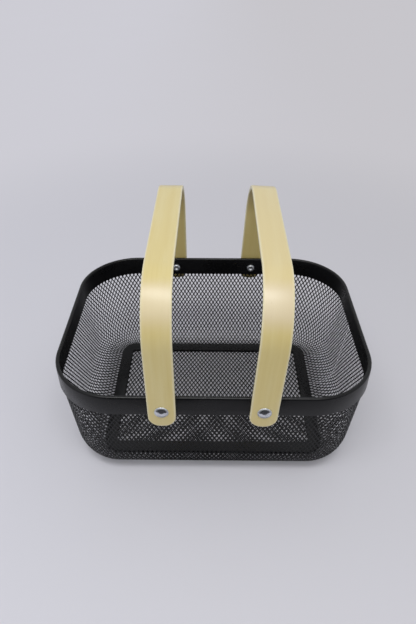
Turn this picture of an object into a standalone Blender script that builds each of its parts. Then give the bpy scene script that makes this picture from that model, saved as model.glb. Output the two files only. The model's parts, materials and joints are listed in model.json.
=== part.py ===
"""Mesh basket with a folded steel rim, a ringed base and two bent wood handles that fold outwards."""

import math

import bmesh
import bpy
from mathutils import Matrix, Vector

MM = 0.001

# General fits
GAP = 0.3 * MM  # free space between faces that touch on the real basket
OVERRUN = 4 * MM  # how far a cutter runs past what it cuts
WELD = 0.001 * MM  # distance under which doubled vertices are merged

# Rim band, a sheet folded over the top edge of the mesh
RIM_LENGTH = 330 * MM
RIM_WIDTH = 254.5 * MM
RIM_CORNER_RADIUS = 67 * MM
RIM_HEIGHT = 23.5 * MM
RIM_SHEET = 1.2 * MM

# Basket body
BASKET_HEIGHT = 126 * MM
MESH_SHEET = 1.2 * MM
STRAND_WIDTH = 3 * MM
WALL_DRAFT_ANGLE = math.radians(6)
END_DRAW = 39.4 * MM  # how far the base ring lies inside the rim at each end
SIDE_DRAW = 34 * MM  # and along each long side
MESH_IN_RIM = 6 * MM  # how deep the mesh reaches into the rim's fold

# Base, two flat rings that clamp the wall mesh and the floor mesh
RING_WIDTH = 13.7 * MM
RING_SHEET = 1.2 * MM
BASE_CORNER_RADIUS = 19 * MM  # outer edge of the rings
MESH_SPLIT = 0.6 * MM  # free space between the two meshes inside the clamp
FLOOR_HEM = 4.6 * MM

# Handles
HANDLE_WIDTH = 27.3 * MM
HANDLE_THICKNESS = 4.5 * MM
HANDLE_HEIGHT = 133.6 * MM  # pivot to the top of the arch
HANDLE_BEND_RADIUS = 59 * MM  # outer face
HANDLE_END_DROP = 20.5 * MM  # pivot to the foot of each leg
HANDLE_END_RADIUS = 12.5 * MM
HANDLE_EDGE_RADIUS = 1.1 * MM
HANDLE_LEAN = {"left": math.radians(0), "right": math.radians(3)}

# Pivots, one rivet through each handle leg and the rim
PIVOT_SPACING = 99 * MM
PIVOT_DROP = 13 * MM  # below the top of the rim
SHANK_RADIUS = 2.5 * MM
SHANK_CLEARANCE = 0.5 * MM
HEAD_RADIUS = 7 * MM
HEAD_RISE = 2 * MM
HEAD_EDGE = 0.6 * MM
CAP_RADIUS = 5 * MM
CAP_RISE = 1.4 * MM
CAP_EDGE = 1.6 * MM
CAP_BORE_DEPTH = 1.9 * MM
WASHER_RADIUS = 7 * MM
WASHER_THICKNESS = 0.8 * MM

# Mesh pattern in steps of half a diamond, counted over a quarter of the basket
END_STEPS = 5
CORNER_STEPS = 8
SIDE_STEPS = 7
WALL_LEVELS = 4
CURVE_LEVELS = 3
FLOOR_COLUMNS = 16
FLOOR_LEVELS = 9
FLOOR_SPARE_STEPS = 2  # net past the floor's outline on each side, before it is trimmed

# Facets of round forms
FOLD_STEPS = 4
INNER_FOLD_STEPS = 2
BEND_STEPS = 8
END_BEVEL_STEPS = 4
EDGE_BEVEL_STEPS = 1
TURN_STEPS = 14
DOME_STEPS = 3

# Worked out from the sizes above
QUARTER_STEPS = END_STEPS + CORNER_STEPS + SIDE_STEPS
ROUND_STEPS = 4 * QUARTER_STEPS
FOLD_SLOT = MESH_SHEET + 2 * GAP
RIM_THICKNESS = 2 * RIM_SHEET + FOLD_SLOT
RIM_FOOT = BASKET_HEIGHT - RIM_HEIGHT
PIVOT_HEIGHT = BASKET_HEIGHT - PIVOT_DROP
PIVOT_X = {"left": -PIVOT_SPACING / 2, "right": PIVOT_SPACING / 2}
HOLE_RADIUS = SHANK_RADIUS + SHANK_CLEARANCE
WASHER_FACE = RIM_WIDTH / 2 + GAP
HANDLE_INNER_FACE = WASHER_FACE + WASHER_THICKNESS + GAP
HANDLE_OUTER_FACE = HANDLE_INNER_FACE + HANDLE_THICKNESS
HEAD_FACE = HANDLE_OUTER_FACE + GAP
CAP_FACE = RIM_WIDTH / 2 - RIM_THICKNESS - GAP
CAP_BORE_END = CAP_FACE - CAP_BORE_DEPTH
MESH_LINE = RIM_THICKNESS / 2  # the mesh's mid-plane, inside the rim's outer face
MESH_LEVEL = RING_SHEET + GAP + MESH_SHEET / 2  # the mesh's mid-plane at the base
UPPER_RING_FOOT = MESH_LEVEL + MESH_SHEET / 2 + GAP
BASE_LENGTH = RIM_LENGTH - 2 * END_DRAW
BASE_WIDTH = RIM_WIDTH - 2 * SIDE_DRAW
CLAMPED_WIDTH = (RING_WIDTH - MESH_SPLIT) / 2
FLOOR_INSET = CLAMPED_WIDTH + MESH_SPLIT
SIDE_SHARE = (SIDE_DRAW - MESH_LINE) / (END_DRAW - MESH_LINE)
END_PITCH = (RIM_WIDTH / 2 - RIM_CORNER_RADIUS) / END_STEPS  # one step along a straight end
SIDE_PITCH = (RIM_LENGTH / 2 - RIM_CORNER_RADIUS) / SIDE_STEPS

QUARTER_TURN = math.radians(90)
SMOOTH_ANGLE = math.radians(35)
BEVEL_ANGLE = math.radians(40)


def clear_scene():
    for thing in list(bpy.data.objects):
        bpy.data.objects.remove(thing, do_unlink=True)


def finish_material(name, colour, roughness, metallic):
    material = bpy.data.materials.new(name)
    material.use_nodes = True
    shader = material.node_tree.nodes["Principled BSDF"]
    shader.inputs["Base Color"].default_value = (*colour, 1.0)
    shader.inputs["Roughness"].default_value = roughness
    shader.inputs["Metallic"].default_value = metallic
    material.diffuse_color = (*colour, 1.0)
    return material


def add_object(name, bm):
    """Turn a bmesh into a named object, and free the bmesh."""
    bmesh.ops.remove_doubles(bm, verts=bm.verts[:], dist=WELD)
    bmesh.ops.recalc_face_normals(bm, faces=bm.faces[:])
    mesh = bpy.data.meshes.new(name)
    bm.to_mesh(mesh)
    bm.free()
    piece = bpy.data.objects.new(name, mesh)
    bpy.context.collection.objects.link(piece)
    return piece


def add_guide(name, bm):
    """A cutter or other helper that isn't part of the basket."""
    guide = add_object(name, bm)
    guide.hide_render = True
    guide.display_type = "WIRE"
    return guide


def extrude_faces(bm, travel):
    """Give all the faces so far a depth."""
    swept = bmesh.ops.extrude_face_region(bm, geom=bm.faces[:])
    moved = [part for part in swept["geom"] if isinstance(part, bmesh.types.BMVert)]
    bmesh.ops.translate(bm, verts=moved, vec=travel)


def dress(piece, material, smooth=True):
    piece.data.materials.append(material)
    if smooth:
        piece.data.shade_smooth()
        piece.data.set_sharp_from_angle(angle=SMOOTH_ANGLE)


def add_boolean(piece, guide, operation):
    modifier = piece.modifiers.new(f"{operation.lower()} {guide.name}", "BOOLEAN")
    modifier.operation = operation
    modifier.solver = "EXACT"
    modifier.object = guide


# Rounded rectangles, seen from above


def outline_point(place, half_length, half_width, radius, end_steps=END_STEPS, side_steps=SIDE_STEPS):
    """A point on a rounded rectangle. Place counts steps round it from the middle of the right end."""
    quarter, step = divmod(place % ROUND_STEPS, QUARTER_STEPS)
    if quarter % 2:
        step = QUARTER_STEPS - step
    straight_x = half_length - radius
    straight_y = half_width - radius
    corner_steps = QUARTER_STEPS - end_steps - side_steps
    if step <= end_steps:
        x = half_length
        y = straight_y * step / end_steps
    elif step <= end_steps + corner_steps:
        turn = QUARTER_TURN * (step - end_steps) / corner_steps
        x = straight_x + radius * math.cos(turn)
        y = straight_y + radius * math.sin(turn)
    else:
        x = straight_x * (QUARTER_STEPS - step) / side_steps
        y = half_width
    if quarter in (1, 2):
        x = -x
    if quarter in (2, 3):
        y = -y
    return x, y


def corner_places():
    """The places where a band needs a vertex: both ends of each corner and the steps between them."""
    places = []
    for quarter in range(4):
        for step in range(END_STEPS, END_STEPS + CORNER_STEPS + 1):
            mirrored = QUARTER_STEPS - step
            places.append(quarter * QUARTER_STEPS + (mirrored if quarter % 2 else step))
    return sorted(places)


def loft(bm, near, far, closed):
    """Join two rows of vertices with quads. Closed rows run round and meet their own start."""
    for index in range(len(near) if closed else len(near) - 1):
        following = (index + 1) % len(near)
        bm.faces.new((near[index], near[following], far[following], far[index]))


def add_outline(bm, half_length, half_width, radius, height):
    """A row of vertices round the basket at one height."""
    points = [outline_point(place, half_length, half_width, radius) for place in corner_places()]
    return [bm.verts.new((x, y, height)) for x, y in points]


def sweep_round(profile, half_length, half_width, radius):
    """Carry a closed profile of (inset, height) points round the basket."""
    bm = bmesh.new()
    rows = []
    for inset, height in profile:
        rows.append(add_outline(bm, half_length - inset, half_width - inset, radius - inset, height))
    for index, row in enumerate(rows):
        loft(bm, rows[index - 1], row, closed=True)
    return bm


def flat_ring(width, foot, thickness, half_length, half_width, radius):
    top = foot + thickness
    profile = [(0, foot), (width, foot), (width, top), (0, top)]
    return sweep_round(profile, half_length, half_width, radius)


# Rim band and base rings


def build_rim(pivot_cutters):
    """An upside-down channel. The mesh's top edge stands in its slot."""
    outer_radius = RIM_THICKNESS / 2
    inner_radius = outer_radius - RIM_SHEET
    fold_height = BASKET_HEIGHT - outer_radius
    profile = [(0, RIM_FOOT)]
    for step in range(FOLD_STEPS + 1):
        turn = 2 * QUARTER_TURN * step / FOLD_STEPS
        inset = outer_radius - outer_radius * math.cos(turn)
        profile.append((inset, fold_height + outer_radius * math.sin(turn)))
    profile.append((RIM_THICKNESS, RIM_FOOT))
    profile.append((RIM_THICKNESS - RIM_SHEET, RIM_FOOT))
    for step in range(INNER_FOLD_STEPS + 1):
        turn = 2 * QUARTER_TURN * step / INNER_FOLD_STEPS
        inset = outer_radius + inner_radius * math.cos(turn)
        profile.append((inset, fold_height + inner_radius * math.sin(turn)))
    profile.append((RIM_SHEET, RIM_FOOT))
    rim = add_object("rim_band", sweep_round(profile, RIM_LENGTH / 2, RIM_WIDTH / 2, RIM_CORNER_RADIUS))
    for cutter in pivot_cutters.values():
        add_boolean(rim, cutter, "DIFFERENCE")
    return rim


def build_base_ring(name, foot):
    bm = flat_ring(RING_WIDTH, foot, RING_SHEET, BASE_LENGTH / 2, BASE_WIDTH / 2, BASE_CORNER_RADIUS)
    return add_object(name, bm)


# Expanded metal, laid out flat and then formed


def flat_net(columns, levels, step):
    """A flat net. Each diamond is two columns wide and two levels high, and open inside its strands."""
    bm = bmesh.new()
    corners = {}

    def corner(column, level):
        if (column, level) not in corners:
            corners[column, level] = bm.verts.new((column * step, levels[level], 0))
        return corners[column, level]

    last = len(levels) - 1
    diamonds = []
    for level in range(last + 1):
        for column in range(1 + level % 2, columns + 1, 2):
            left = corner(column - 1, level)
            near = corner(column, max(level - 1, 0))
            right = corner(column + 1, level)
            far = corner(column, min(level + 1, last))
            diamonds.append(bm.faces.new((left, near, right, far)))
    bm.normal_update()
    bmesh.ops.inset_individual(bm, faces=diamonds, thickness=STRAND_WIDTH / 2, use_even_offset=True)
    bmesh.ops.delete(bm, geom=diamonds, context="FACES")
    return bm, corners


def add_hem(bm, corners, level, depth, step):
    """A plain strip along one edge of the net, out to the given depth."""
    columns = range(level % 2, ROUND_STEPS + level % 2)
    edge = {column: corners[column, level] for column in (*columns, columns[-1] + 1)}
    hem = {column: bm.verts.new((column * step, depth, 0)) for column in edge}
    for column in columns:
        bm.faces.new((edge[column], edge[column + 1], hem[column + 1], hem[column]))


def thicken(piece):
    modifier = piece.modifiers.new("sheet", "SOLIDIFY")
    modifier.thickness = MESH_SHEET
    modifier.offset = 0
    modifier.use_even_offset = True


def wall_curve():
    """The wall's section: length of its slanted run, and radius and length of its curved foot."""
    run = END_DRAW - MESH_LINE
    fall = RIM_FOOT - MESH_LEVEL
    slope = math.tan(WALL_DRAFT_ANGLE)
    radius = (run - fall * slope) / (1 / math.cos(WALL_DRAFT_ANGLE) - slope)
    slanted = (fall - radius + radius * math.sin(WALL_DRAFT_ANGLE)) / math.cos(WALL_DRAFT_ANGLE)
    return slanted, radius, radius * (QUARTER_TURN - WALL_DRAFT_ANGLE)


def wall_section(depth):
    """The wall's inset from the rim's end, and its height, by the length of sheet below the rim."""
    slanted, radius, curved = wall_curve()
    if depth <= 0:
        return MESH_LINE, RIM_FOOT - depth
    if depth <= slanted:
        inset = MESH_LINE + depth * math.sin(WALL_DRAFT_ANGLE)
        return inset, RIM_FOOT - depth * math.cos(WALL_DRAFT_ANGLE)
    if depth <= slanted + curved:
        angle = WALL_DRAFT_ANGLE + (depth - slanted) / radius
        return END_DRAW - radius * math.cos(angle), MESH_LEVEL + radius - radius * math.sin(angle)
    return END_DRAW + depth - slanted - curved, MESH_LEVEL


def wall_point(place, depth):
    """Where a point of the flat wall sheet lies once it is wrapped round, and gathered in at the corners."""
    end_inset, height = wall_section(depth)
    drawn = min(end_inset, END_DRAW) - MESH_LINE
    clamped = max(end_inset - END_DRAW, 0)
    side_inset = MESH_LINE + drawn * SIDE_SHARE + clamped
    half_length = RIM_LENGTH / 2 - end_inset
    half_width = RIM_WIDTH / 2 - side_inset
    top_radius = RIM_CORNER_RADIUS - MESH_LINE
    tightened = (top_radius - BASE_CORNER_RADIUS) * drawn / (END_DRAW - MESH_LINE)
    radius = top_radius - tightened - clamped
    end_steps = (half_width - radius) / END_PITCH
    side_steps = (half_length - radius) / SIDE_PITCH
    x, y = outline_point(place, half_length, half_width, radius, end_steps, side_steps)
    return Vector((x, y, height))


def build_wall_mesh():
    slanted, radius, curved = wall_curve()
    straights = 2 * (RIM_LENGTH + RIM_WIDTH - 4 * RIM_CORNER_RADIUS)
    step = (straights + 2 * math.pi * (RIM_CORNER_RADIUS - MESH_LINE)) / ROUND_STEPS
    levels = [slanted * level / WALL_LEVELS for level in range(WALL_LEVELS)]
    levels += [slanted + curved * level / CURVE_LEVELS for level in range(CURVE_LEVELS + 1)]
    bm, corners = flat_net(ROUND_STEPS, levels, step)
    add_hem(bm, corners, 0, -MESH_IN_RIM, step)
    add_hem(bm, corners, len(levels) - 1, slanted + curved + CLAMPED_WIDTH, step)
    for vert in bm.verts:
        vert.co = wall_point(vert.co.x / step, vert.co.y)
    wall = add_object("wall_mesh", bm)
    thicken(wall)
    return wall


def build_floor_mesh():
    """A flat net, trimmed to the clamp's outline, with a plain hem between the rings."""
    half_length = BASE_LENGTH / 2 - FLOOR_INSET
    half_width = BASE_WIDTH / 2 - FLOOR_INSET
    radius = BASE_CORNER_RADIUS - FLOOR_INSET
    step = 2 * half_length / FLOOR_COLUMNS
    rise = 2 * half_width / FLOOR_LEVELS
    levels = [rise * level for level in range(FLOOR_LEVELS + 2 * FLOOR_SPARE_STEPS + 1)]
    bm, _ = flat_net(FLOOR_COLUMNS + 2 * FLOOR_SPARE_STEPS, levels, step)
    first_column = -half_length - FLOOR_SPARE_STEPS * step
    first_level = -half_width - FLOOR_SPARE_STEPS * rise
    bmesh.ops.translate(bm, verts=bm.verts, vec=(first_column, first_level, MESH_LEVEL))
    floor = add_object("floor_mesh", bm)
    thicken(floor)

    trim = FLOOR_HEM / 2
    bm = bmesh.new()
    foot = MESH_LEVEL - OVERRUN
    bm.faces.new(add_outline(bm, half_length - trim, half_width - trim, radius - trim, foot))
    extrude_faces(bm, (0, 0, 2 * OVERRUN))
    add_boolean(floor, add_guide("floor_outline", bm), "INTERSECT")

    bm = flat_ring(FLOOR_HEM, MESH_LEVEL - MESH_SHEET / 2, MESH_SHEET, half_length, half_width, radius)
    add_boolean(floor, add_guide("floor_hem", bm), "UNION")
    return floor


# Handles


def arch_path(half_span, height, radius):
    """Points of an arch over the basket, from the foot of one leg to the other, seen from the side."""
    points = [(-half_span, -HANDLE_END_DROP)]
    for step in range(BEND_STEPS + 1):
        turn = QUARTER_TURN * step / BEND_STEPS
        y = radius - half_span - radius * math.cos(turn)
        points.append((y, height - radius + radius * math.sin(turn)))
    return points + [(-y, z) for y, z in reversed(points)]


def build_handle(side, pivot_cutters):
    """A bent strip with round feet, modelled about its own pivot line."""
    bm = bmesh.new()
    rows = []
    for half_span, depth in ((HANDLE_OUTER_FACE, 0), (HANDLE_INNER_FACE, HANDLE_THICKNESS)):
        path = arch_path(half_span, HANDLE_HEIGHT - depth, HANDLE_BEND_RADIUS - depth)
        rows.append([bm.verts.new((-HANDLE_WIDTH / 2, y, z)) for y, z in path])
    loft(bm, *rows, closed=False)
    extrude_faces(bm, (HANDLE_WIDTH, 0, 0))
    foot_corners = [edge for edge in bm.edges if is_foot_corner(edge)]
    bmesh.ops.bevel(
        bm,
        geom=foot_corners,
        offset=HANDLE_END_RADIUS,
        offset_type="OFFSET",
        segments=END_BEVEL_STEPS,
        profile=0.5,
        affect="EDGES",
        clamp_overlap=True,
    )
    handle = add_object(f"handle_{side}", bm)
    handle.location = (PIVOT_X[side], 0, PIVOT_HEIGHT)
    handle.rotation_euler = (0, HANDLE_LEAN[side], 0)
    bevel = handle.modifiers.new("eased edges", "BEVEL")
    bevel.width = HANDLE_EDGE_RADIUS
    bevel.segments = EDGE_BEVEL_STEPS
    bevel.limit_method = "ANGLE"
    bevel.angle_limit = BEVEL_ANGLE
    add_boolean(handle, pivot_cutters[side], "DIFFERENCE")
    return handle


def is_foot_corner(edge):
    """True for the four edges across the strip's thickness at its feet."""
    start, end = (vert.co for vert in edge.verts)
    at_foot = max(start.z, end.z) < WELD - HANDLE_END_DROP
    return at_foot and abs(start.x - end.x) < WELD


# Rivets, caps and washers


def turned(profile, closed=False):
    """Spin (radius, distance) points about the Y axis."""
    bm = bmesh.new()
    verts = [bm.verts.new((radius, distance, 0)) for radius, distance in profile]
    pairs = list(zip(verts, verts[1:]))
    if closed:
        pairs.append((verts[-1], verts[0]))
    edges = [bm.edges.new(pair) for pair in pairs]
    bmesh.ops.spin(
        bm,
        geom=verts + edges,
        cent=(0, 0, 0),
        axis=(0, 1, 0),
        angle=4 * QUARTER_TURN,
        steps=TURN_STEPS,
        use_merge=True,
    )
    return bm


def dome_points(radius, rise, edge_distance, direction):
    """A shallow dome's section, from its top on the axis to its edge."""
    sphere = (radius * radius + rise * rise) / (2 * rise)
    reach = math.asin(radius / sphere)
    points = []
    for step in range(DOME_STEPS + 1):
        turn = reach * step / DOME_STEPS
        height = rise - sphere + sphere * math.cos(turn)
        points.append((sphere * math.sin(turn), edge_distance + direction * height))
    return points


def rivet_mesh():
    profile = dome_points(HEAD_RADIUS, HEAD_RISE, HEAD_FACE + HEAD_EDGE, 1)
    profile.append((HEAD_RADIUS, HEAD_FACE))
    profile.append((SHANK_RADIUS, HEAD_FACE))
    profile.append((SHANK_RADIUS, CAP_BORE_END + GAP))
    profile.append((0, CAP_BORE_END + GAP))
    return turned(profile)


def cap_mesh():
    bore_radius = SHANK_RADIUS + GAP
    profile = dome_points(CAP_RADIUS, CAP_RISE, CAP_FACE - CAP_EDGE, -1)
    profile.append((CAP_RADIUS, CAP_FACE))
    profile.append((bore_radius, CAP_FACE))
    profile.append((bore_radius, CAP_BORE_END))
    profile.append((0, CAP_BORE_END))
    return turned(profile)


def washer_mesh():
    outer_face = WASHER_FACE + WASHER_THICKNESS
    profile = [
        (HOLE_RADIUS, WASHER_FACE),
        (WASHER_RADIUS, WASHER_FACE),
        (WASHER_RADIUS, outer_face),
        (HOLE_RADIUS, outer_face),
    ]
    return turned(profile, closed=True)


def place_at_pivots(name, bm):
    """The same turned piece at all four pivots, as four objects that share one mesh."""
    pieces = []
    first = add_object(f"{name}_rear_left", bm)
    for row, turn in (("rear", 0), ("front", 2 * QUARTER_TURN)):
        for side, x in PIVOT_X.items():
            label = f"{name}_{row}_{side}"
            if label == first.name:
                piece = first
            else:
                piece = bpy.data.objects.new(label, first.data)
                bpy.context.collection.objects.link(piece)
            piece.location = (x, 0, PIVOT_HEIGHT)
            piece.rotation_euler = (0, 0, turn)
            pieces.append(piece)
    return pieces


def build_pivot_cutters():
    """One long drill per handle, through both of its legs and both sides of the rim."""
    cutters = {}
    for side, x in PIVOT_X.items():
        bm = bmesh.new()
        bmesh.ops.create_cone(
            bm,
            cap_ends=True,
            segments=TURN_STEPS,
            radius1=HOLE_RADIUS,
            radius2=HOLE_RADIUS,
            depth=2 * (HANDLE_OUTER_FACE + OVERRUN),
            matrix=Matrix.Rotation(QUARTER_TURN, 4, "X"),
        )
        cutters[side] = add_guide(f"pivot_drill_{side}", bm)
        cutters[side].location = (x, 0, PIVOT_HEIGHT)
    return cutters


def build_basket():
    black_paint = finish_material("black_paint", (0.018, 0.018, 0.021), 0.38, 0.0)
    birch = finish_material("birch", (0.74, 0.6, 0.33), 0.45, 0.0)
    bright_zinc = finish_material("bright_zinc", (0.62, 0.64, 0.67), 0.25, 1.0)

    pivot_cutters = build_pivot_cutters()
    dress(build_rim(pivot_cutters), black_paint)
    dress(build_wall_mesh(), black_paint)
    dress(build_floor_mesh(), black_paint, smooth=False)
    dress(build_base_ring("base_ring_lower", 0), black_paint, smooth=False)
    dress(build_base_ring("base_ring_upper", UPPER_RING_FOOT), black_paint, smooth=False)
    for side in PIVOT_X:
        dress(build_handle(side, pivot_cutters), birch)
    for name, bm in (("rivet", rivet_mesh()), ("rivet_cap", cap_mesh()), ("washer", washer_mesh())):
        dress(place_at_pivots(name, bm)[0], bright_zinc)


clear_scene()
build_basket()
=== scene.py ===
# Mesh basket with a folded black rim, a ringed base and two bentwood handles
import json
import math

import bmesh
import bpy
from mathutils import Matrix, Vector


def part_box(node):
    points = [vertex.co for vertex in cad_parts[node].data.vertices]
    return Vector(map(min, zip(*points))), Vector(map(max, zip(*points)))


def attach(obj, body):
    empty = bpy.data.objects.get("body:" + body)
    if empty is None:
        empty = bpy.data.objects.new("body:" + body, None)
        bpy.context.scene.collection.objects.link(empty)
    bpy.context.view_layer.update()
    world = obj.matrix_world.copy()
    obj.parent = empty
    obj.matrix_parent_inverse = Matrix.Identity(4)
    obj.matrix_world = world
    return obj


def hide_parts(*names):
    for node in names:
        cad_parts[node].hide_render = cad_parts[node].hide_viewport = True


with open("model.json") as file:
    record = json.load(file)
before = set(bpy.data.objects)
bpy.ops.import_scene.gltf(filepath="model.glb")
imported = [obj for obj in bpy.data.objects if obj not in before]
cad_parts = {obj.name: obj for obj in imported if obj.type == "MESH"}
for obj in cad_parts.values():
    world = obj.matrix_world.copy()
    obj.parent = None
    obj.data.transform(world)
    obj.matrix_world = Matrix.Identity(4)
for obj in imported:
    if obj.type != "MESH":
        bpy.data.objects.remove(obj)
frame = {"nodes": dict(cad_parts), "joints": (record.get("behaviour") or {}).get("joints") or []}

mm = 0.001
quarterTurn = math.radians(90)
weld = 0.002 * mm  # doubled vertices closer than this are merged
smoothAngle = math.radians(35)  # edges sharper than this stay sharp when a piece is shaded
easeAngle = math.radians(40)  # and those sharper than this are eased
drillSteps = 40  # round each hole
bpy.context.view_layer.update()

# Places that every piece below is worked out from
rimLow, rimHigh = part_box("rim_band")
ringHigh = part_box("base_ring_lower")[1]
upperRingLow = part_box("base_ring_upper")[0]
halfLength, halfWidth = rimHigh.x, rimHigh.y
baseHalfLength, baseHalfWidth = ringHigh.x, ringHigh.y
endDraw, sideDraw = halfLength - baseHalfLength, halfWidth - baseHalfWidth
meshLevel = (ringHigh.z + upperRingLow.z) / 2  # where both meshes are clamped between the rings
pivots = {joint["child"]: Vector(joint["pos_m"]) for joint in frame["joints"]}


# Shader maths: a socket that adds and multiplies, and one method for every other node

class Field:
    def __init__(self, nodes, socket):
        self.nodes = nodes
        self.socket = socket

    def maths(self, operation, *values):
        return self.nodes.node("Math", {"operation": operation}, dict(enumerate(values)))

    def __add__(self, other):
        return self.maths("ADD", self, other)

    def __radd__(self, other):
        return self.maths("ADD", other, self)

    def __sub__(self, other):
        return self.maths("SUBTRACT", self, other)

    def __rsub__(self, other):
        return self.maths("SUBTRACT", other, self)

    def __mul__(self, other):
        return self.maths("MULTIPLY", self, other)

    def __rmul__(self, other):
        return self.maths("MULTIPLY", other, self)

    def __truediv__(self, other):
        return self.maths("DIVIDE", self, other)

    def __abs__(self):
        return self.maths("ABSOLUTE", self)


class Nodes:
    # the nodes of one material or of the world
    def __init__(self, tree):
        self.tree = tree

    def node(self, kind, settings=None, sockets=None, output=0):
        made = self.tree.nodes.new("ShaderNode" + kind)
        for key, value in (settings or {}).items():
            setattr(made, key, value)
        for key, value in (sockets or {}).items():
            self.feed(made.inputs[key], value)
        return Field(self, made.outputs[output])

    def feed(self, socket, value):
        if isinstance(value, Field):
            self.tree.links.new(value.socket, socket)
        else:
            socket.default_value = value

    def noise(self, place, size, detail=2.0, roughness=0.5, stretch=(1, 1, 1)):
        # lumps of about the given size, in metres, drawn out along each axis by the stretch
        scaled = self.node("Mapping", {"vector_type": "POINT"}, {
            "Vector": place, "Scale": [1 / (size * share) for share in stretch]})
        return self.node("TexNoise", {"noise_dimensions": "3D"}, {
            "Vector": scaled, "Scale": 1.0, "Detail": detail, "Roughness": roughness})

    def fade(self, field, low, high):
        # 0 below the first value, 1 above the second, smooth between them
        return self.node("MapRange", {"interpolation_type": "SMOOTHSTEP"}, {
            "Value": field, "From Min": low, "From Max": high})

    def part(self, vector, axis):
        return self.node("SeparateXYZ", None, {0: vector}, output=axis)

    def vectors(self, operation, *values, output=0):
        # output 0 is a vector, and output 1 a number such as a length
        return self.node("VectorMath", {"operation": operation}, dict(enumerate(values)), output)

    def mix(self, factor, first, second, blend="MIX"):
        settings = {"data_type": "RGBA", "blend_type": blend}
        return self.node("Mix", settings, {0: factor, 6: opaque(first), 7: opaque(second)}, output=2)

    def bump(self, height, distance):
        return self.node("Bump", None, {"Height": height, "Distance": distance})


class Finish(Nodes):
    # a material, its shader's fixed values, and the nodes that vary over the surface
    def __init__(self, name, **fixed):
        self.material = bpy.data.materials.new(name)
        self.material.use_nodes = True
        super().__init__(self.material.node_tree)
        self.shader = self.tree.nodes["Principled BSDF"]
        for socket, value in fixed.items():
            self.shader.inputs[socket.replace("_", " ")].default_value = value

    def show(self, **varying):
        for socket, value in varying.items():
            self.feed(self.shader.inputs[socket.replace("_", " ")], value)
        return self.material


def opaque(colour):
    return colour if isinstance(colour, Field) else (*colour, 1)


# Shape helpers

def startWire(bm, point):
    return [bm.verts.new(point)]


def addRun(bm, wire, travel):
    # draw the wire's moving end, a point or a row of edges, straight on
    moved = bmesh.ops.extrude_face_region(bm, geom=wire)["geom"]
    verts = [part for part in moved if isinstance(part, bmesh.types.BMVert)]
    bmesh.ops.translate(bm, verts=verts, vec=travel)
    return moved


def addTurn(bm, wire, centre, axis, angle, steps):
    turned = bmesh.ops.spin(bm, geom=wire, cent=centre, axis=axis, angle=angle, steps=steps)
    return turned["geom_last"]


def wholeWire(bm):
    return bm.verts[:] + bm.edges[:]


def carryRound(bm, length, width, radius, cornerSteps):
    # take the wire that stands at the middle of the right end once round a rounded rectangle
    x, y = length - radius, width - radius
    wire = addRun(bm, wholeWire(bm), (0, y, 0))
    legs = (((x, y), (-2 * x, 0)), ((-x, y), (0, -2 * y)), ((-x, -y), (2 * x, 0)), ((x, -y), (0, y)))
    for corner, run in legs:
        wire = addTurn(bm, wire, (*corner, 0), (0, 0, 1), quarterTurn, cornerSteps)
        wire = addRun(bm, wire, (*run, 0))
    bmesh.ops.remove_doubles(bm, verts=bm.verts[:], dist=weld)


def addPiece(name, bm, body, slot, *nodes):
    bmesh.ops.remove_doubles(bm, verts=bm.verts[:], dist=weld)
    bmesh.ops.recalc_face_normals(bm, faces=bm.faces[:])
    mesh = bpy.data.meshes.new(name)
    bm.to_mesh(mesh)
    bm.free()
    piece = bpy.data.objects.new(name, mesh)
    bpy.context.scene.collection.objects.link(piece)
    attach(piece, body)
    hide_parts(*nodes)
    return piece


def addSheet(piece, thickness):
    modifier = piece.modifiers.new("sheet", "SOLIDIFY")
    modifier.thickness = thickness
    modifier.offset = 0
    modifier.use_even_offset = True


def easeEdges(piece, look):
    modifier = piece.modifiers.new("eased edges", "BEVEL")
    modifier.width = look["edgeRadius"]
    modifier.segments = look["edgeSteps"]
    modifier.limit_method = "ANGLE"
    modifier.angle_limit = easeAngle


def drill(piece, look, points):
    # round holes along Y through the piece, cut for good
    radius, depth = look["holeRadius"], 4 * look["thickness"]
    cutters = []
    for point in points:
        bm = bmesh.new()
        turn = Matrix.Translation(point) @ Matrix.Rotation(quarterTurn, 4, "X")
        bmesh.ops.create_cone(
            bm, cap_ends=True, segments=drillSteps, radius1=radius, radius2=radius, depth=depth, matrix=turn)
        mesh = bpy.data.meshes.new("drill")
        bm.to_mesh(mesh)
        bm.free()
        cutter = bpy.data.objects.new("drill", mesh)
        bpy.context.scene.collection.objects.link(cutter)
        modifier = piece.modifiers.new("hole", "BOOLEAN")
        modifier.operation = "DIFFERENCE"
        modifier.solver = "EXACT"
        modifier.object = cutter
        cutters.append(cutter)
    settle(piece)
    for cutter in cutters:
        bpy.data.objects.remove(cutter)


def settle(piece):
    # make the modifiers' result the piece's own mesh
    bpy.context.view_layer.update()
    evaluated = piece.evaluated_get(bpy.context.evaluated_depsgraph_get())
    mesh = bpy.data.meshes.new_from_object(evaluated)
    piece.modifiers.clear()
    piece.data = mesh


def shade(piece, material):
    piece.data.materials.clear()
    piece.data.materials.append(material)
    piece.data.shade_smooth()
    piece.data.set_sharp_from_angle(angle=smoothAngle)


# Black paint on the rim, the base rings and the mesh

blackPaint = {
    "colour": (0.0032, 0.0032, 0.0036),
    "faded": (0.0062, 0.0062, 0.0072),
    "cloudSize": 45 * mm,
    "speckleSize": 2.5 * mm,
    "cloudShare": 0.7,  # of the clouds in how faded it is, and the rest is speckle
    "fadeRange": (0.36, 0.66),
    "roughness": (0.24, 0.36),
    "grainSize": 0.7 * mm,
    "grainDepth": 0.02 * mm,
    "refraction": 1.4,
}


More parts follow.
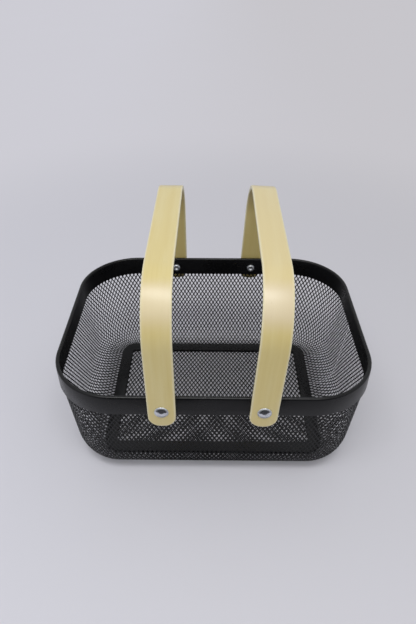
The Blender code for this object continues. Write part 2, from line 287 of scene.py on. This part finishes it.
def makeBlackPaint(name, look):
    finish = Finish(name, Metallic=0.0, IOR=look["refraction"])
    place = finish.node("TexCoord", output=3)
    cloud = finish.noise(place, look["cloudSize"], detail=3.0)
    speckle = finish.noise(place, look["speckleSize"])
    grain = finish.noise(place, look["grainSize"])
    share = look["cloudShare"]
    tone = finish.fade(cloud * share + speckle * (1 - share), *look["fadeRange"])
    low, high = look["roughness"]
    return finish.show(
        Base_Color=finish.mix(tone, look["colour"], look["faded"]),
        Roughness=low + tone * (high - low),
        Normal=finish.bump(grain, look["grainDepth"]),
    )


# Rim band: a strip folded over the top edge of the mesh

rimBand = {
    "cornerRadius": 67 * mm,
    "thickness": 4.2 * mm,
    "sheet": 1.2 * mm,
    "edgeRadius": 0.35 * mm,
    "edgeSteps": 2,
    "holeRadius": 3 * mm,
    "foldSteps": 16,
    "cornerSteps": 28,
}


def makeRim(look, material):
    fold = (look["thickness"] - look["sheet"]) / 2
    middle = halfLength - look["thickness"] / 2
    foldHeight = rimHigh.z - look["thickness"] / 2
    leg = foldHeight - rimLow.z
    bm = bmesh.new()
    end = startWire(bm, (middle + fold, 0, rimLow.z))
    end = addRun(bm, end, (0, 0, leg))
    end = addTurn(bm, end, (middle, 0, foldHeight), (0, -1, 0), 2 * quarterTurn, look["foldSteps"])
    addRun(bm, end, (0, 0, -leg))
    carryRound(bm, halfLength, halfWidth, look["cornerRadius"], look["cornerSteps"])
    rim = addPiece("rim_band_fine", bm, "basket", "black_paint", "rim_band")
    addSheet(rim, look["sheet"])
    easeEdges(rim, look)
    holes = [Vector((pivot.x, side * halfWidth, pivot.z)) for pivot in pivots.values() for side in (-1, 1)]
    drill(rim, look, holes)
    shade(rim, material)
    print("rim band made")


# Base: two flat rings that clamp the wall and the floor

baseRing = {
    "width": 13.7 * mm,
    "sheet": 1.2 * mm,
    "edgeRadius": 0.3 * mm,
    "edgeSteps": 2,
    "cornerRadius": 19 * mm,
    "cornerSteps": 16,
}


def makeRing(look, node, material):
    low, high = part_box(node)
    bm = bmesh.new()
    start = startWire(bm, (high.x, 0, (low.z + high.z) / 2))
    addRun(bm, start, (-look["width"], 0, 0))
    carryRound(bm, high.x, high.y, look["cornerRadius"], look["cornerSteps"])
    ring = addPiece(node + "_fine", bm, "basket", "black_paint", node)
    addSheet(ring, look["sheet"])
    easeEdges(ring, look)
    shade(ring, material)
    print(node, "made")


# Expanded metal: the wall's sheet and the floor's, each a net of diamonds

expandedMetal = {
    "endColumns": 12,  # whole diamonds from the middle of an end to its corner
    "cornerColumns": 20,
    "sideColumns": 20,
    "floorPitch": 5 * mm,  # width of the floor's diamonds, or as near to it as fits the base
    "rowHeight": 8.65 * mm,
    "strandWidth": 1.3 * mm,
    "strandTilt": 0.22 * mm,
    "sheet": 0.35 * mm,
    "draft": math.radians(6),
    "inRim": 6 * mm,  # how far the sheet reaches into the rim's fold
    "clamped": 6.5 * mm,  # and between the base rings
    "seamPlace": 3.2,  # columns from the middle of the right end to the start of the sheet
    "lap": 0.5,  # diamonds by which its end overlaps its start
    "lapLift": 0.4 * mm,
    "lapEase": 3,  # diamonds over which it lifts
}
quarterColumns = sum(expandedMetal[stretch] for stretch in ("endColumns", "cornerColumns", "sideColumns"))
endPitch = (halfWidth - rimBand["cornerRadius"]) / expandedMetal["endColumns"]
sidePitch = (halfLength - rimBand["cornerRadius"]) / expandedMetal["sideColumns"]
wallLine = rimBand["thickness"] / 2  # from the rim's outside to the middle of the sheet in its fold


def openDiamonds(bm, strandWidth, keep):
    # turn a grid of cells into a net of diamonds, one about each edge of the grid
    gridEdges = bm.edges[:]
    bmesh.ops.poke(bm, faces=bm.faces[:])
    inner = [edge for edge in gridEdges if len(edge.link_faces) == 2]
    bmesh.ops.dissolve_edges(bm, edges=inner, use_verts=False)
    bm.normal_update()
    spare = [face for face in bm.faces if len(face.verts) != 4 or not keep(face)]
    bmesh.ops.delete(bm, geom=spare, context="FACES")
    bm.normal_update()
    diamonds = bm.faces[:]
    bmesh.ops.inset_individual(bm, faces=diamonds, thickness=strandWidth / 2, use_even_offset=True)
    return diamonds


def tiltStrands(diamonds, tilt):
    # raise the corner of each opening that lies furthest along Y, and sink the opposite one
    for diamond in diamonds:
        corners = sorted(diamond.verts, key=lambda vert: vert.co.y)
        corners[0].co -= diamond.normal * tilt
        corners[-1].co += diamond.normal * tilt


def cutNet(bm, look, keep):
    # make a flat grid a net of tilted strands, and leave its openings out
    diamonds = openDiamonds(bm, look["strandWidth"], keep)
    tiltStrands(diamonds, look["strandTilt"])
    bmesh.ops.delete(bm, geom=diamonds, context="FACES")


def wallCurve(look):
    # radius of the drawn-in foot, and lengths of the slanted wall and of the foot's curve
    run = endDraw - wallLine
    fall = rimLow.z - meshLevel
    slope = math.tan(look["draft"])
    radius = (run - fall * slope) / (1 / math.cos(look["draft"]) - slope)
    slanted = (fall - radius + radius * math.sin(look["draft"])) / math.cos(look["draft"])
    return radius, slanted, radius * (quarterTurn - look["draft"])


def wallSection(look, depth):
    # inset from the rim's end, height and lean of the sheet, at a length of sheet below the rim
    radius, slanted, curved = wallCurve(look)
    if depth <= 0:
        return wallLine, rimLow.z - depth, 0.0
    if depth <= slanted:
        inset = wallLine + depth * math.sin(look["draft"])
        return inset, rimLow.z - depth * math.cos(look["draft"]), look["draft"]
    if depth <= slanted + curved:
        lean = look["draft"] + (depth - slanted) / radius
        return endDraw - radius * math.cos(lean), meshLevel + radius - radius * math.sin(lean), lean
    return endDraw + depth - slanted - curved, meshLevel, quarterTurn


def roundPlace(columns, length, width, radius):
    # a point on a rounded rectangle and its outward direction, at a number of columns of sheet from the
    # middle of the right end: straight walls keep the sheet's width, and the corners gather it in
    straightX, straightY = length - radius, width - radius
    endColumns, sideColumns = straightY / endPitch, straightX / sidePitch
    quarter, column = divmod(columns, quarterColumns)
    quarter = int(quarter) % 4
    if quarter % 2:
        column = quarterColumns - column
    if column <= endColumns:
        turn = 0.0
        place = Vector((length, straightY * column / endColumns, 0))
    elif column <= quarterColumns - sideColumns:
        turn = quarterTurn * (column - endColumns) / (quarterColumns - endColumns - sideColumns)
        place = Vector((straightX + radius * math.cos(turn), straightY + radius * math.sin(turn), 0))
    else:
        turn = quarterTurn
        place = Vector((straightX * (quarterColumns - column) / sideColumns, width, 0))
    out = Vector((math.cos(turn), math.sin(turn), 0))
    flip = Vector((-1 if quarter in (1, 2) else 1, -1 if quarter in (2, 3) else 1, 1))
    return place * flip, out * flip


def wallPlace(look, columns, depth, lift):
    # where a point of the flat sheet lies once it is wrapped round, drawn in and lifted off its middle
    endInset, height, lean = wallSection(look, depth)
    drawn = (min(endInset, endDraw) - wallLine) / (endDraw - wallLine)
    clamped = max(endInset - endDraw, 0)
    sideInset = wallLine + (sideDraw - wallLine) * drawn + clamped
    topRadius = rimBand["cornerRadius"] - wallLine
    radius = topRadius + (baseRing["cornerRadius"] - topRadius) * drawn - clamped
    place, out = roundPlace(columns, halfLength - endInset, halfWidth - sideInset, radius)
    normal = out * math.cos(lean) - Vector((0, 0, math.sin(lean)))
    return place + Vector((0, 0, height)) + normal * lift


def flatSheet(columns, rows, width, height):
    # a grid of cells of the given width and height, centred on the origin
    bm = bmesh.new()
    bmesh.ops.create_grid(bm, x_segments=columns, y_segments=rows, size=0.5)
    bmesh.ops.scale(bm, verts=bm.verts[:], vec=(columns * width, rows * height, 1))
    return bm


def lapLift(look, place, turn):
    # the start of the sheet lies a little inside its middle line at the seam, and its end outside
    ease = look["lapEase"]
    if place < ease + look["lap"]:
        return -look["lapLift"] * min(1, (ease + look["lap"] - place) / ease)
    if place > turn - ease:
        return look["lapLift"] * min(1, (place - turn + ease) / ease)
    return 0


def makeWallMesh(look, material):
    slanted, curved = wallCurve(look)[1:]
    top, foot = look["inRim"], slanted + curved + look["clamped"]
    columns = 4 * quarterColumns
    perimeter = 4 * (halfLength + halfWidth) - (8 - 2 * math.pi) * rimBand["cornerRadius"]
    turn = columns + 0.5  # diamonds once round: half a diamond out of step where the ends overlap
    sheetColumns = round(turn + look["lap"])
    rows = round((top + foot) / look["rowHeight"])
    width, height = perimeter / turn, (top + foot) / rows
    bm = flatSheet(sheetColumns, rows, width, height)
    cutNet(bm, look, lambda diamond: True)

    # wrap the flat net round the basket, from the seam on
    for vert in bm.verts:
        place = vert.co.x / width + sheetColumns / 2
        depth = (foot - top) / 2 - vert.co.y
        lift = vert.co.z + lapLift(look, place, turn)
        vert.co = wallPlace(look, look["seamPlace"] + place * columns / turn, depth, lift)

    wall = addPiece("wall_mesh_fine", bm, "basket", "black_paint", "wall_mesh")
    addSheet(wall, look["sheet"])
    shade(wall, material)
    print("wall mesh made,", len(wall.data.polygons), "strand faces")


def makeFloorMesh(look, material):
    length = baseHalfLength - look["clamped"]
    width = baseHalfWidth - look["clamped"]
    radius = baseRing["cornerRadius"] - look["clamped"]
    columns = round(2 * baseHalfLength / look["floorPitch"])
    rows = round(2 * baseHalfWidth / look["rowHeight"])

    def keep(diamond):
        return isInside(diamond.calc_center_median(), length, width, radius)

    bm = flatSheet(columns, rows, 2 * baseHalfLength / columns, look["rowHeight"])
    cutNet(bm, look, keep)
    bmesh.ops.translate(bm, verts=bm.verts[:], vec=(0, 0, meshLevel))
    floor = addPiece("floor_mesh_fine", bm, "basket", "black_paint", "floor_mesh")
    addSheet(floor, look["sheet"])
    shade(floor, material)
    print("floor mesh made,", len(floor.data.polygons), "strand faces")


def isInside(place, length, width, radius):
    # true inside a rounded rectangle about the origin
    overX = max(abs(place.x) - length + radius, 0)
    overY = max(abs(place.y) - width + radius, 0)
    return math.hypot(overX, overY) <= radius


# Handles: bent birch strip

handleStrip = {
    "thickness": 4.5 * mm,
    "bendRadius": 59 * mm,  # outer face
    "endRadius": 12.5 * mm,
    "edgeRadius": 1.1 * mm,
    "holeRadius": 3 * mm,
    "leanDegrees": {"handle_left": 0, "handle_right": 3},
    "bendSteps": 24,
    "endSteps": 8,
    "edgeSteps": 4,
}
birch = {
    "colour": (0.735, 0.605, 0.255),
    "streak": (0.665, 0.52, 0.18),
    "pale": (0.80, 0.705, 0.39),
    "fleck": (0.50, 0.345, 0.12),
    "glueLine": (0.50, 0.37, 0.16),
    "edge": (0.92, 0.85, 0.56),  # bare, sanded wood along the strip's edges, painted paler still as the highlight its eased edges catch
    "edgeWidth": (2.3 * mm, 0.7 * mm),
    "bendSheen": (0.745, 0.62, 0.41),  # painted highlight: a paler, creamier colour in the middle of each bend, where the lacquer's gloss falls
    "sheenFrom": (92 * mm, 108 * mm),  # distances along the strip from the top's middle
    "sheenTo": (127 * mm, 147 * mm),
    # share of the painted bend highlight on each handle
    "stretch": {"handle_left": 0.6, "handle_right": 0.8},
    "arch": {"handle_left": 0.0, "handle_right": 0.3},  # as much of that paler colour from the top's middle to where the bend's band starts
    "grainPlace": {"handle_left": (0, 0, 0), "handle_right": (0.8, 0.3, 0)},
    # the grain's layers: size across the strip, how many times longer along it, how finely each breaks
    # up, which range of its noise shows, and how strongly
    "fibres": {
        "size": 0.5 * mm, "longer": 60, "detail": 3.0, "rough": 0.6, "range": (0.5, 0.78), "share": 0.3},
    "bands": {
        "size": 3.2 * mm, "longer": 60, "detail": 3.0, "rough": 0.5, "range": (0.36, 0.68), "share": 0.22},
    "clouds": {
        "size": 12 * mm, "longer": 7, "detail": 2.0, "rough": 0.5, "range": (0.4, 0.75), "share": 0.35},
    "flecks": {
        "size": 0.45 * mm, "longer": 9, "detail": 1.0, "rough": 0.5, "range": (0.68, 0.76), "share": 0.35},
    "fleckClouds": (0.42, 0.6),  # flecks come in where the clouds rise through this range
    "innerShadeFrom": (-2 * mm, -1 * mm),  # painted shade: the strip's inner face, which faces into the arch, is darker and browner: depths where that starts
    "innerShadeShare": 0.5,
    "bareAndLitShare": 0.85,
    "plyThickness": 0.9 * mm,
    "glueWidth": (0.04, 0.12),  # of each line on the bare edge, as shares of a ply
    "glueShare": 0.4,
    "roughness": (0.32, 0.44),
    "bareRoughness": 0.1,  # more than that
    "grainDepth": 0.03 * mm,
    "bandDepth": 0.5,  # of the bands, as a share of the fibres' depth
    "refraction": 1.48,
    "coat": 1.0,
    "coatRoughness": 0.33,
}


def stripLine(look):
    # the strip's middle line: half its span, its bend, the height where the bend starts, and its foot
    low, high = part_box("handle_left")  # the upright one
    pivot = pivots["handle_left"]
    middle = high.y - look["thickness"] / 2
    bend = look["bendRadius"] - look["thickness"] / 2
    return middle, bend, high.z - pivot.z - look["bendRadius"], low.z - pivot.z


def stripSize(look):
    # half the strip's width, and its length from the middle of the arch to one foot
    low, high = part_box("handle_left")
    middle, bend, bendHeight, foot = stripLine(look)
    return (high.x - low.x) / 2, middle - bend + bend * quarterTurn + bendHeight - foot


def makeHandle(look, node, material):
    halfStrip = stripSize(look)[0]
    middle, bend, bendHeight, foot = stripLine(look)
    bm = bmesh.new()
    end = startWire(bm, (-halfStrip, -middle, foot))
    end = addRun(bm, end, (0, 0, bendHeight - foot))
    end = addTurn(bm, end, (0, bend - middle, bendHeight), (-1, 0, 0), quarterTurn, look["bendSteps"])
    end = addRun(bm, end, (0, 2 * (middle - bend), 0))
    end = addTurn(bm, end, (0, middle - bend, bendHeight), (-1, 0, 0), quarterTurn, look["bendSteps"])
    addRun(bm, end, (0, 0, foot - bendHeight))
    addRun(bm, wholeWire(bm), (2 * halfStrip, 0, 0))
    feet = [vert for vert in bm.verts if vert.co.z < foot + weld]
    bmesh.ops.bevel(
        bm, geom=feet, offset=look["endRadius"], offset_type="OFFSET", segments=look["endSteps"], profile=0.5,
        affect="VERTICES", material=-1, clamp_overlap=True)
    handle = addPiece(node + "_fine", bm, node, "birch", node)
    addSheet(handle, look["thickness"])
    easeEdges(handle, look)
    drill(handle, look, [Vector((0, side * middle, 0)) for side in (-1, 1)])
    markStrip(handle, middle, bend, bendHeight)
    lean = Matrix.Rotation(math.radians(look["leanDegrees"][node]), 4, "Y")
    handle.data.transform(Matrix.Translation(pivots[node]) @ lean)
    shade(handle, material)
    print(node, "made")


def markStrip(handle, middle, bend, bendHeight):
    # each point's place in the flat strip: along it from the top's middle, across it and through it
    flat = middle - bend
    places = handle.data.attributes.new("stripPlace", "FLOAT_VECTOR", "POINT")
    for vert, place in zip(handle.data.vertices, places.data):
        x, y, z = vert.co
        out = abs(y)
        if out <= flat:
            along, through = out, z - bendHeight - bend
        elif z >= bendHeight:
            turn = math.atan2(out - flat, z - bendHeight)
            along, through = flat + bend * turn, math.hypot(out - flat, z - bendHeight) - bend
        else:
            along, through = flat + bend * quarterTurn + bendHeight - z, out - middle
        place.vector = (math.copysign(along, y), x, through)


def outwardPlace(finish, strip):
    # distance out from the square core of the strip's flat outline, which is the end radius at its edge
    halfStrip, reach = stripSize(handleStrip)
    radius = handleStrip["endRadius"]
    core = (reach - radius, halfStrip - radius, 1)
    over = finish.vectors("SUBTRACT", finish.vectors("ABSOLUTE", strip), core)
    return finish.vectors("LENGTH", finish.vectors("MAXIMUM", over, (0, 0, 0)), output=1)


def grainNoise(finish, place, layer):
    return finish.noise(place, layer["size"], layer["detail"], layer["rough"], (layer["longer"], 1, 1))


def showing(finish, noise, layer):
    return finish.fade(noise, *layer["range"]) * layer["share"]


def makeBirch(name, look, node):
    finish = Finish(
        name, Metallic=0.0, IOR=look["refraction"],
        Coat_Weight=look["coat"], Coat_Roughness=look["coatRoughness"])
    strip = finish.node("Attribute", {"attribute_name": "stripPlace"}, output=1)
    along, through = abs(finish.part(strip, 0)), finish.part(strip, 2)
    wood = finish.node(
        "Mapping", {"vector_type": "POINT"}, {"Vector": strip, "Location": look["grainPlace"][node]})
    fibres = grainNoise(finish, wood, look["fibres"])
    bands = grainNoise(finish, wood, look["bands"])
    clouds = grainNoise(finish, wood, look["clouds"])
    flecks = grainNoise(finish, wood, look["flecks"])

    # where the strip is bare and painted paler as a highlight on its eased edges, crossed by a glue line,
    # painted darker as shade on its inner face, and painted paler as a highlight in the middle of its bends
    soft, full = look["edgeWidth"]
    edge = handleStrip["endRadius"]
    bareAndLitEdge = finish.fade(outwardPlace(finish, strip), edge - soft, edge - full)
    layer = through / look["plyThickness"] + 0.5
    glue = 1 - finish.fade(layer.maths("PINGPONG", layer, 0.5), *look["glueWidth"])
    inner = 1 - finish.fade(through, *look["innerShadeFrom"])
    reached = finish.fade(along, *look["sheenFrom"])
    left = 1 - finish.fade(along, *look["sheenTo"])
    bendSheen = reached * left * look["stretch"][node] + (1 - reached) * look["arch"][node]

    colour = finish.mix(showing(finish, bands, look["bands"]), look["colour"], look["streak"])
    colour = finish.mix(showing(finish, clouds, look["clouds"]), colour, look["pale"])
    colour = finish.mix(showing(finish, fibres, look["fibres"]), colour, look["streak"])
    # painted highlight in the middle of each bend
    colour = finish.mix(bendSheen, colour, look["bendSheen"])
    fleck = showing(finish, flecks, look["flecks"]) * finish.fade(clouds, *look["fleckClouds"])
    colour = finish.mix(fleck, colour, look["fleck"])
    # painted shade on the strip's inner face
    colour = finish.mix(inner * look["innerShadeShare"], colour, look["streak"])
    # bare edges, with a painted highlight where the eased edges catch light
    colour = finish.mix(bareAndLitEdge * look["bareAndLitShare"], colour, look["edge"])
    colour = finish.mix(glue * bareAndLitEdge * look["glueShare"], colour, look["glueLine"])
    low, high = look["roughness"]
    return finish.show(
        Base_Color=colour,
        Roughness=low + fibres * (high - low) + bareAndLitEdge * look["bareRoughness"],
        Normal=finish.bump(fibres + bands * look["bandDepth"], look["grainDepth"]),
    )


# Rivets: a domed head outside each leg, and a rolled cap that closes its shank inside the rim

rivet = {
    "radius": 7.0 * mm,
    "crownAngle": math.radians(30),  # where the broad crown turns into the tight edge
    "crownRadius": 12.9 * mm,
    "edgeAngle": math.radians(80),
    "shankRadius": 2.5 * mm,
    "shankShort": 0.95 * mm,  # it stops this much sooner, because the dished cap has a shallower bore
    "gap": 0.3 * mm,  # between the strip and the head
    "arcSteps": 8,
}
rivetCap = {
    "radius": 5.0 * mm,
    "dishRadius": 1.9 * mm,  # of the hollow in its middle
    "dishAngle": math.radians(55),
    "boreRadius": 2.8 * mm,
    "boreDepth": 0.95 * mm,
    "arcSteps": 8,
}
turnSteps = 48  # round each head and cap


def addArc(bm, wire, centre, angle, steps):
    # turn the outline's moving end about a centre in the XZ plane, from +Z towards +X
    x, z = centre
    return addTurn(bm, wire, (x, 0, z), (0, 1, 0), angle, steps)


def outlineHead(bm, look, rise, shank):
    # from the top of the crown, over the edge, under the head and along the shank to its end
    crown, edge = look["crownAngle"], look["edgeAngle"]
    crownRadius = look["crownRadius"]
    edgeRadius = (look["radius"] - crownRadius * math.sin(crown)) / (math.sin(edge) - math.sin(crown))
    end = startWire(bm, (0, 0, rise))
    end = addArc(bm, end, (0, rise - crownRadius), crown, look["arcSteps"])
    turnX = (crownRadius - edgeRadius) * math.sin(crown)
    turnZ = rise - crownRadius + (crownRadius - edgeRadius) * math.cos(crown)
    end = addArc(bm, end, (turnX, turnZ), edge - crown, look["arcSteps"])
    end = addRun(bm, end, (0, 0, -turnZ - edgeRadius * math.cos(edge)))
    end = addRun(bm, end, (look["shankRadius"] - look["radius"], 0, 0))
    end = addRun(bm, end, (0, 0, -shank))
    addRun(bm, end, (-look["shankRadius"], 0, 0))


def outlineCap(bm, look, rise):
    # from the middle of the dish, over the rolled edge, down to the rim's face and up into the bore
    lean = look["dishAngle"]
    dish = look["dishRadius"]
    roll = (look["radius"] - dish * math.sin(lean)) / (1 + math.sin(lean))
    low = rise - (roll + dish) * (1 - math.cos(lean))
    end = startWire(bm, (0, 0, low))
    end = addArc(bm, end, (0, low + dish), -lean, look["arcSteps"])
    end = addArc(bm, end, (look["radius"] - roll, rise - roll), quarterTurn + lean, 2 * look["arcSteps"])
    end = addRun(bm, end, (0, 0, roll - rise))
    end = addRun(bm, end, (look["boreRadius"] - look["radius"], 0, 0))
    end = addRun(bm, end, (0, 0, look["boreDepth"]))
    addRun(bm, end, (-look["boreRadius"], 0, 0))


def turnPiece(name, bm, place, inwards, node, material):
    # spin the outline, point its axis in or out along Y, and set its flat face where it belongs
    bmesh.ops.spin(
        bm, geom=wholeWire(bm), cent=(0, 0, 0), axis=(0, 0, 1), angle=4 * quarterTurn,
        steps=turnSteps, use_merge=True)
    towardsRear = (place.y > 0) != inwards
    turn = Matrix.Rotation(-quarterTurn if towardsRear else quarterTurn, 4, "X")
    bmesh.ops.transform(bm, matrix=Matrix.Translation(place) @ turn, verts=bm.verts[:])
    piece = addPiece(name, bm, "basket", "bright_zinc", node)
    shade(piece, material)


def makeRivets(material, capMaterial):
    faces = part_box("handle_left")[1].y + rivet["gap"]
    for handle, pivot in pivots.items():
        for row, side in (("front", -1), ("rear", 1)):
            label = row + "_" + handle.split("_")[1]
            ends = [abs(corner.y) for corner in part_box("rivet_" + label)]
            bm = bmesh.new()
            outlineHead(bm, rivet, max(ends) - faces, faces - min(ends) - rivet["shankShort"])
            place = Vector((pivot.x, side * faces, pivot.z))
            turnPiece("rivet_fine_" + label, bm, place, False, "rivet_" + label, material)

            ends = [abs(corner.y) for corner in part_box("rivet_cap_" + label)]
            bm = bmesh.new()
            outlineCap(bm, rivetCap, max(ends) - min(ends))
            place = Vector((pivot.x, side * max(ends), pivot.z))
            turnPiece("rivet_cap_fine_" + label, bm, place, True, "rivet_cap_" + label, capMaterial)
    print("rivets and caps made")


# Zinc: bright on the heads, and duller on the caps

zinc = {
    "colour": (0.89, 0.915, 0.955),
    "dull": (0.69, 0.715, 0.76),
    "bloomSize": 3 * mm,
    "bloomRange": (0.42, 0.72),
    "roughness": (0.12, 0.26),
    "bloomShare": 0.7,  # of the bloom in the roughness, and the rest is scratches
    "edgeRoughness": 0.42,  # more than that on the heads' tight edges
    "edgeFrom": (5.2 * mm, 6.4 * mm),
    "scratchSize": 0.35 * mm,
    "scratchStretch": (6, 1, 1),
    "scratchDepth": 0.004 * mm,
}
capZinc = {
    **zinc,
    "colour": (0.74, 0.76, 0.80),
    "dull": (0.58, 0.60, 0.64),
    "roughness": (0.36, 0.5),
}


def makeZinc(name, look):
    finish = Finish(name, Metallic=1.0)
    place = finish.node("TexCoord", output=3)
    bloom = finish.noise(place, look["bloomSize"], detail=3.0)
    scratch = finish.noise(place, look["scratchSize"], stretch=look["scratchStretch"])
    tone = finish.fade(bloom, *look["bloomRange"])
    pivot = pivots["handle_right"]
    across = abs(finish.part(place, 0)) - pivot.x
    upwards = finish.part(place, 2) - pivot.z
    square = across * across + upwards * upwards
    edge = finish.fade(square.maths("SQRT", square), *look["edgeFrom"])
    low, high = look["roughness"]
    share = look["bloomShare"]
    wear = tone * share + scratch * (1 - share)
    return finish.show(
        Base_Color=finish.mix(tone, look["colour"], look["dull"]),
        Roughness=low + wear * (high - low) + edge * look["edgeRoughness"],
        Normal=finish.bump(scratch, look["scratchDepth"]),
    )


# Floor, world, lamps and camera

stage = {
    "left": (0.615, 0.61, 0.665),
    "right": (0.575, 0.565, 0.60),
    "near": 1.12,  # the lit floor about the basket is this much paler
    "cloud": (0.5, 0.5, 0.5),
    "cloudSize": 0.3,
    "cloudShare": 0.06,
    "roughness": 0.7,
    "size": 14,
    "change": 0.5,  # from left to right over this distance either side of the middle
    "evenFrom": 0.35,  # distance from the basket beyond which the floor shows its plain colour
    "evenTo": 1.0,
    "dark": (0.045, 0.045, 0.05),  # painted shade, seen only in gloss and metal: they mirror a dim floor, and a dark one in front
    "dim": 0.2,
    "darkFrom": (-0.27, -0.32),
    "darkSpots": (  # and in round spots, the one under the basket a painted shadow: where, and the radii between which each one fades
        ((-0.062, -0.31, 0), (0.045, 0.08)),
        ((0.062, -0.31, 0), (0.045, 0.08)),
        ((0, 0.04, 0), (0.14, 0.24)),
    ),
}
room = {
    "colour": (0.96, 0.975, 1.0),
    "strength": 0.6,
    "darkStrength": 0.06,  # low in front, which the heads and the rim mirror
    "darkTowards": (0, -math.cos(math.radians(8)), math.sin(math.radians(8))),
    "darkWidth": (math.cos(math.radians(46)), math.cos(math.radians(22))),  # angles from that direction
}
lamps = {
    "overhead": {
        "place": (-0.12, -0.6, 1.75), "aim": (0, -0.05, 0.15), "size": (1.3, 0.5), "power": 11.5},
    "front": {
        "place": (-0.1, -1.5, 1.55), "aim": (0, -0.05, 0.15), "size": (1.6, 0.9), "power": 5.5},
}
view = {
    "place": (-0.99 * mm, -478.5 * mm, 500.6 * mm),
    "pitchDown": math.radians(37.59),
    "turnLeft": math.radians(0.62),
    "lens": 30.69,
    "sensor": 36,
}


def makeFloor(look):
    bm = bmesh.new()
    bmesh.ops.create_grid(bm, x_segments=1, y_segments=1, size=look["size"] / 2)
    mesh = bpy.data.meshes.new("floor")
    bm.to_mesh(mesh)
    bm.free()
    floor = bpy.data.objects.new("floor", mesh)
    bpy.context.scene.collection.objects.link(floor)
    finish = Finish("paleFloor", Roughness=look["roughness"])
    place = finish.node("TexCoord", output=3)
    cloud = finish.noise(place, look["cloudSize"])
    across = finish.fade(finish.part(place, 0), -look["change"], look["change"])
    pale = finish.mix(across, look["left"], look["right"])
    pale = finish.mix(cloud * look["cloudShare"], pale, look["cloud"])
    finish.show(Base_Color=finish.mix(1.0, pale, (look["near"],) * 3, blend="MULTIPLY"))

    # the camera sees the far floor in its plain colour, and glossy surfaces see it dim or dark, as painted
    # shade
    distance = finish.vectors("LENGTH", place, output=1)
    seen = finish.node("LightPath") * finish.fade(distance, look["evenFrom"], look["evenTo"])
    even = finish.node("Emission", None, {"Color": pale, "Strength": 1.0})
    dark = finish.node("Emission", None, {"Color": opaque(look["dark"]), "Strength": 1.0})
    darkened = finish.fade(finish.part(place, 1), *look["darkFrom"])
    for centre, reach in look["darkSpots"]:
        radius = finish.vectors("DISTANCE", place, centre, output=1)
        darkened = darkened.maths("MAXIMUM", darkened, 1 - finish.fade(radius, *reach))
    mirrored = finish.node("LightPath", output=3) * (look["dim"] + darkened * (1 - look["dim"]))
    lit = Field(finish, finish.shader.outputs[0])
    shown = finish.node("MixShader", None, {0: seen, 1: lit, 2: even})
    shown = finish.node("MixShader", None, {0: mirrored, 1: shown, 2: dark})
    finish.feed(finish.tree.nodes["Material Output"].inputs["Surface"], shown)
    floor.data.materials.append(finish.material)


def makeRoom(look, floorLook):
    world = bpy.data.worlds.new("studio")
    bpy.context.scene.world = world
    world.use_nodes = True
    nodes = Nodes(world.node_tree)
    direction = nodes.node("TexCoord")
    facing = nodes.vectors("DOT_PRODUCT", direction, look["darkTowards"], output=1)
    dimmed = nodes.fade(facing, *look["darkWidth"]) * (look["strength"] - look["darkStrength"])
    strength = look["strength"] - dimmed
    light = nodes.node("Background", None, {"Color": opaque(look["colour"]), "Strength": strength})
    horizon = 2 * floorLook["change"] / floorLook["size"]
    across = nodes.fade(nodes.part(direction, 0), -horizon, horizon)
    pale = nodes.mix(across, floorLook["left"], floorLook["right"])
    shown = nodes.node("Background", None, {"Color": pale, "Strength": 1.0})
    seen = nodes.node("LightPath")
    choice = nodes.node("MixShader", None, {0: seen, 1: light, 2: shown})
    nodes.feed(world.node_tree.nodes["World Output"].inputs["Surface"], choice)


def makeLamps(looks):
    for name, look in looks.items():
        lamp = bpy.data.lights.new(name, "AREA")
        lamp.shape = "RECTANGLE"
        lamp.size, lamp.size_y = look["size"]
        lamp.energy = look["power"]
        holder = bpy.data.objects.new(name, lamp)
        holder.location = look["place"]
        aim = Vector(look["aim"]) - Vector(look["place"])
        holder.rotation_euler = aim.to_track_quat("-Z", "Y").to_euler()
        bpy.context.scene.collection.objects.link(holder)


def makeCamera(look):
    lens = bpy.data.cameras.new("photoView")
    lens.lens = look["lens"]
    lens.sensor_width = look["sensor"]
    camera = bpy.data.objects.new("photoView", lens)
    camera.location = look["place"]
    camera.rotation_euler = (quarterTurn - look["pitchDown"], 0, look["turnLeft"])
    bpy.context.scene.collection.objects.link(camera)
    bpy.context.scene.camera = camera


def makeBasket():
    paint = makeBlackPaint("blackPaintFine", blackPaint)
    meshPaint = makeBlackPaint("meshPaintFine", blackPaint)
    metal = makeZinc("brightZincFine", zinc)
    capMetal = makeZinc("capZincFine", capZinc)
    makeRim(rimBand, paint)
    makeRing(baseRing, "base_ring_lower", paint)
    makeRing(baseRing, "base_ring_upper", paint)
    makeWallMesh(expandedMetal, meshPaint)
    makeFloorMesh(expandedMetal, meshPaint)
    makeHandle(handleStrip, "handle_left", makeBirch("birchLeft", birch, "handle_left"))
    makeHandle(handleStrip, "handle_right", makeBirch("birchRight", birch, "handle_right"))
    makeRivets(metal, capMetal)

    # the washers stay as the frame gives them, in the heads' zinc
    for name, node in frame["nodes"].items():
        if name.startswith("washer"):
            node.data.materials.clear()
            node.data.materials.append(metal)


makeCamera(view)
makeFloor(stage)
makeRoom(room, stage)
makeLamps(lamps)
makeBasket()
bpy.context.scene.view_settings.view_transform = "Standard"
